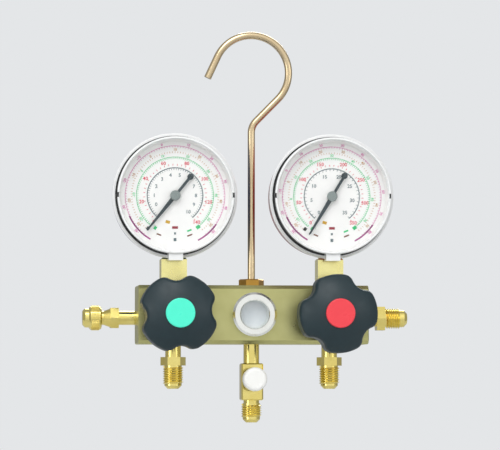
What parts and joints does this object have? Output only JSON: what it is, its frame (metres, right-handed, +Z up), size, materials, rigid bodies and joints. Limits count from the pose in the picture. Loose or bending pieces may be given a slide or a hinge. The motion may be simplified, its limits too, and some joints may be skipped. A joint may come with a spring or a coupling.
{
  "type": "refrigerant manifold gauge",
  "caption": "Refrigerant manifold gauge set: brass valve block with sight glass, pressure gauges, lobed hand valves, flare hose ports and a swivel hanging hook.",
  "frame": {"origin": "hanging point, inside the crown of the hook, on the swivel axis", "axes": "+Z up towards the hook, dials and hand valves face -Y, +X towards the high-pressure side"},
  "size_m": [0.1794, 0.0666, 0.2147],
  "materials": {
    "block_brass": "satin",
    "turned_brass": "polished",
    "hook_wire": "plated",
    "nickel_plate": "polished",
    "bezel_enamel": "gloss",
    "spindle_steel": "turned",
    "dark_steel": "blackened",
    "tube_bronze": "drawn",
    "low_case_paint": "gloss",
    "high_case_paint": "gloss",
    "dial_paint": "matt",
    "pointer_paint": "matt",
    "window_glass": "clear",
    "sight_glass": "clear",
    "seal_rubber": "moulded",
    "seat_plastic": "turned",
    "knob_plastic": "moulded",
    "low_cap_plastic": "moulded",
    "high_cap_plastic": "moulded",
    "white_plastic": "moulded"
  },
  "bodies": {
    "manifold": {"manifold_block": "block_brass", "sight_glass_ring": "nickel_plate", "sight_glass_lens": "sight_glass", "sight_glass_seal": "seal_rubber", "hook_bush": "turned_brass", "low_hose_fitting": "turned_brass", "high_hose_fitting": "turned_brass", "center_adapter": "turned_brass", "center_valve_body": "turned_brass", "center_valve_bonnet": "dark_steel", "center_outlet": "turned_brass", "charging_port": "turned_brass", "charging_port_core": "turned_brass", "spare_port": "turned_brass", "low_gauge_case": "low_case_paint", "low_gauge_bezel": "bezel_enamel", "low_gauge_window": "window_glass", "low_gauge_dial": "dial_paint", "low_gauge_socket": "turned_brass", "low_bourdon_tube": "tube_bronze", "low_movement_frame": "turned_brass", "low_valve_bonnet": "turned_brass", "low_stem_packing": "seat_plastic", "low_gland_nut": "turned_brass", "high_gauge_case": "high_case_paint", "high_gauge_bezel": "bezel_enamel", "high_gauge_window": "window_glass", "high_gauge_dial": "dial_paint", "high_gauge_socket": "turned_brass", "high_bourdon_tube": "tube_bronze", "high_movement_frame": "turned_brass", "high_valve_bonnet": "turned_brass", "high_stem_packing": "seat_plastic", "high_gland_nut": "turned_brass"},
    "hook": {"hook_wire": "hook_wire"},
    "low_sector": {"low_sector_gear": "turned_brass"},
    "low_pointer": {"low_pointer": "pointer_paint", "low_pinion": "spindle_steel"},
    "low_link": {"low_movement_link": "turned_brass"},
    "low_plunger": {"low_valve_plunger": "turned_brass"},
    "low_handle": {"low_valve_stem": "spindle_steel", "low_knob": "knob_plastic", "low_knob_cap": "low_cap_plastic"},
    "high_sector": {"high_sector_gear": "turned_brass"},
    "high_pointer": {"high_pointer": "pointer_paint", "high_pinion": "spindle_steel"},
    "high_link": {"high_movement_link": "turned_brass"},
    "high_plunger": {"high_valve_plunger": "turned_brass"},
    "high_handle": {"high_valve_stem": "spindle_steel", "high_knob": "knob_plastic", "high_knob_cap": "high_cap_plastic"},
    "center_plunger": {"center_valve_plunger": "seat_plastic"},
    "center_handle": {"center_valve_spindle": "spindle_steel", "center_valve_knob": "white_plastic"},
    "cap_gasket": {"charging_port_gasket": "seal_rubber"},
    "charging_cap": {"charging_port_cap": "turned_brass"},
    "core_pin": {"charging_port_core_pin": "spindle_steel"}
  },
  "joints": [
    {"name": "hook_swivel", "type": "hinge", "parent": "manifold", "child": "hook", "pos_m": [0, 0, -0.136], "axis": [0, 0, 1], "continuous": true},
    {"name": "low_sector_swing", "type": "hinge", "parent": "manifold", "child": "low_sector", "pos_m": [-0.043, 0, -0.1033], "axis": [0, -1, 0], "range_deg": [0, 38.57], "stiffness_Nm_per_rad": 0.01, "springref_deg": -5.73},
    {"name": "low_pointer_turn", "type": "hinge", "parent": "manifold", "child": "low_pointer", "pos_m": [-0.043, 0, -0.0873], "axis": [0, 1, 0], "range_deg": [0, 270]},
    {"name": "low_link_swing", "type": "hinge", "parent": "low_sector", "child": "low_link", "pos_m": [-0.04061, 0, -0.10826], "axis": [0, -1, 0], "range_deg": [-38.57, 0]},
    {"name": "low_valve_travel", "type": "slide", "parent": "manifold", "child": "low_plunger", "axis": [0, -1, 0], "range_m": [0, 0.00337]},
    {"name": "low_valve_turn", "type": "hinge", "parent": "low_plunger", "child": "low_handle", "pos_m": [-0.043, -0.015, -0.152], "axis": [0, -1, 0], "range_deg": [0, 810.01]},
    {"name": "high_sector_swing", "type": "hinge", "parent": "manifold", "child": "high_sector", "pos_m": [0.043, 0, -0.1033], "axis": [0, -1, 0], "range_deg": [0, 38.57], "stiffness_Nm_per_rad": 0.01, "springref_deg": -5.73},
    {"name": "high_pointer_turn", "type": "hinge", "parent": "manifold", "child": "high_pointer", "pos_m": [0.043, 0, -0.0873], "axis": [0, 1, 0], "range_deg": [0, 270]},
    {"name": "high_link_swing", "type": "hinge", "parent": "high_sector", "child": "high_link", "pos_m": [0.04539, 0, -0.10826], "axis": [0, -1, 0], "range_deg": [-38.57, 0]},
    {"name": "high_valve_travel", "type": "slide", "parent": "manifold", "child": "high_plunger", "axis": [0, -1, 0], "range_m": [0, 0.00337]},
    {"name": "high_valve_turn", "type": "hinge", "parent": "high_plunger", "child": "high_handle", "pos_m": [0.043, -0.015, -0.152], "axis": [0, -1, 0], "range_deg": [0, 810.01]},
    {"name": "center_valve_travel", "type": "slide", "parent": "manifold", "child": "center_plunger", "axis": [0, -1, 0], "range_m": [0, 0.002]},
    {"name": "center_valve_turn", "type": "hinge", "parent": "center_plunger", "child": "center_handle", "pos_m": [0, -0.006, -0.1872], "axis": [0, -1, 0], "range_deg": [0, 720.01]},
    {"name": "cap_travel", "type": "slide", "parent": "manifold", "child": "cap_gasket", "axis": [-1, 0, 0], "range_m": [0, 0.00476]},
    {"name": "cap_turn", "type": "hinge", "parent": "cap_gasket", "child": "charging_cap", "pos_m": [-0.085, 0.0085, -0.1535], "axis": [-1, 0, 0], "range_deg": [0, 2160.01]},
    {"name": "core_press", "type": "slide", "parent": "manifold", "child": "core_pin", "axis": [1, 0, 0], "range_m": [0, 0.0012], "stiffness_N_per_m": 300, "springref_m": -0.003}
  ],
  "couplings": [
    {"joint": "low_pointer_turn", "follows": "low_sector_swing", "ratio": 7},
    {"joint": "low_link_swing", "follows": "low_sector_swing", "ratio": -1},
    {"joint": "low_valve_turn", "follows": "low_valve_travel", "rad_per_m": 4188.8},
    {"joint": "high_pointer_turn", "follows": "high_sector_swing", "ratio": 7},
    {"joint": "high_link_swing", "follows": "high_sector_swing", "ratio": -1},
    {"joint": "high_valve_turn", "follows": "high_valve_travel", "rad_per_m": 4188.8},
    {"joint": "center_valve_turn", "follows": "center_valve_travel", "rad_per_m": 6283.2},
    {"joint": "cap_turn", "follows": "cap_travel", "rad_per_m": 7913.3}
  ]
}
